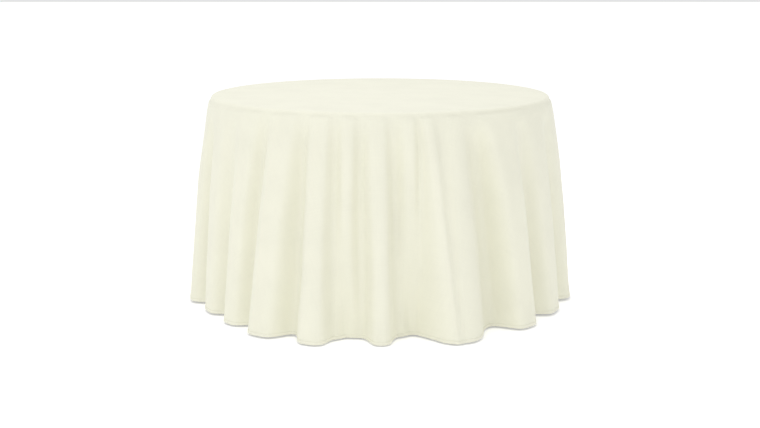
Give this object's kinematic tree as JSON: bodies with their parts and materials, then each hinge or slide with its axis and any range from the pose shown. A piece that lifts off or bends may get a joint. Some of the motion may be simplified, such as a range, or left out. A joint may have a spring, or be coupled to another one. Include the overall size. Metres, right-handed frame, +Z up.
{
  "type": "tablecloth on a round folding table",
  "caption": "Ivory round tablecloth draped to the floor in deep folds over a round blow-moulded table with folding steel leg frames and braces",
  "frame": {"origin": "on the floor under the middle of the table, at the centre of the footprint", "axes": "+Z up out of the table top, -Y towards the front that the picture shows, and X along the row of the two leg frames"},
  "size_m": [1.389, 1.4284, 0.7444],
  "materials": {
    "cloth": "matte plain-weave polyester, ivory",
    "table_panel": "lightly textured off-white blow-moulded polyethylene",
    "frame_steel": "grey powder coat",
    "bracket_steel": "grey powder coat",
    "screw_steel": "zinc-plated steel",
    "plug_plastic": "black moulded polyethylene",
    "foot_plastic": "black moulded polypropylene"
  },
  "bodies": {
    "frame": {"table_top": "table_panel", "side_rail_rear": "frame_steel", "side_rail_front": "frame_steel", "rail_end_plugs": "plug_plastic", "bracket_screws": "screw_steel", "rail_screws": "screw_steel", "strap_screws": "screw_steel", "pivot_bracket_rear_left": "bracket_steel", "pivot_bracket_front_left": "bracket_steel", "cross_strap_left": "frame_steel", "anchor_bracket_left": "bracket_steel", "anchor_pin_left": "screw_steel", "pivot_bracket_rear_right": "bracket_steel", "pivot_bracket_front_right": "bracket_steel", "cross_strap_right": "frame_steel", "anchor_bracket_right": "bracket_steel", "anchor_pin_right": "screw_steel"},
    "leg_left": {"pivot_tube_left": "frame_steel", "leg_loop_rear_left": "frame_steel", "leg_loop_front_left": "frame_steel", "crossbar_left": "frame_steel", "pivot_tube_plugs_left": "plug_plastic", "leg_feet_left": "foot_plastic", "crossbar_collars_left": "frame_steel"},
    "upper_brace_left": {"brace_upper_bar_left": "bracket_steel", "brace_elbow_rivet_left": "screw_steel"},
    "lower_brace_left": {"brace_lower_bar_left": "bracket_steel"},
    "leg_right": {"pivot_tube_right": "frame_steel", "leg_loop_rear_right": "frame_steel", "leg_loop_front_right": "frame_steel", "crossbar_right": "frame_steel", "pivot_tube_plugs_right": "plug_plastic", "leg_feet_right": "foot_plastic", "crossbar_collars_right": "frame_steel"},
    "upper_brace_right": {"brace_upper_bar_right": "bracket_steel", "brace_elbow_rivet_right": "screw_steel"},
    "lower_brace_right": {"brace_lower_bar_right": "bracket_steel"},
    "cloth": {"tablecloth": "cloth", "tablecloth_hem": "cloth"}
  },
  "joints": [
    {"name": "fold_leg_left", "type": "hinge", "parent": "frame", "child": "leg_left", "pos_m": [-0.4, 0, 0.68], "axis": [0, -1, 0], "range_deg": [0, 93]},
    {"name": "turn_upper_brace_left", "type": "hinge", "parent": "frame", "child": "upper_brace_left", "pos_m": [-0.07, 0, 0.702], "axis": [0, -1, 0], "range_deg": [-40.28, 0]},
    {"name": "turn_lower_brace_left", "type": "hinge", "parent": "leg_left", "child": "lower_brace_left", "pos_m": [-0.41413, 0, 0.41037], "axis": [0, -1, 0], "range_deg": [0, 40.28]},
    {"name": "fold_leg_right", "type": "hinge", "parent": "frame", "child": "leg_right", "pos_m": [0.4, 0, 0.648], "axis": [0, 1, 0], "range_deg": [0, 93]},
    {"name": "turn_upper_brace_right", "type": "hinge", "parent": "frame", "child": "upper_brace_right", "pos_m": [0.07, 0, 0.67], "axis": [0, 1, 0], "range_deg": [-40.28, 0]},
    {"name": "turn_lower_brace_right", "type": "hinge", "parent": "leg_right", "child": "lower_brace_right", "pos_m": [0.41413, 0, 0.37837], "axis": [0, 1, 0], "range_deg": [0, 40.28]},
    {"name": "lift_cloth", "type": "slide", "parent": "frame", "child": "cloth", "axis": [0, 0, 1], "range_m": [0, 0.8]}
  ],
  "couplings": [
    {"joint": "turn_upper_brace_left", "follows": "fold_leg_left", "ratio": -0.43311},
    {"joint": "turn_lower_brace_left", "follows": "fold_leg_left", "ratio": 0.43313},
    {"joint": "turn_upper_brace_right", "follows": "fold_leg_right", "ratio": -0.43311},
    {"joint": "turn_lower_brace_right", "follows": "fold_leg_right", "ratio": 0.43313}
  ]
}
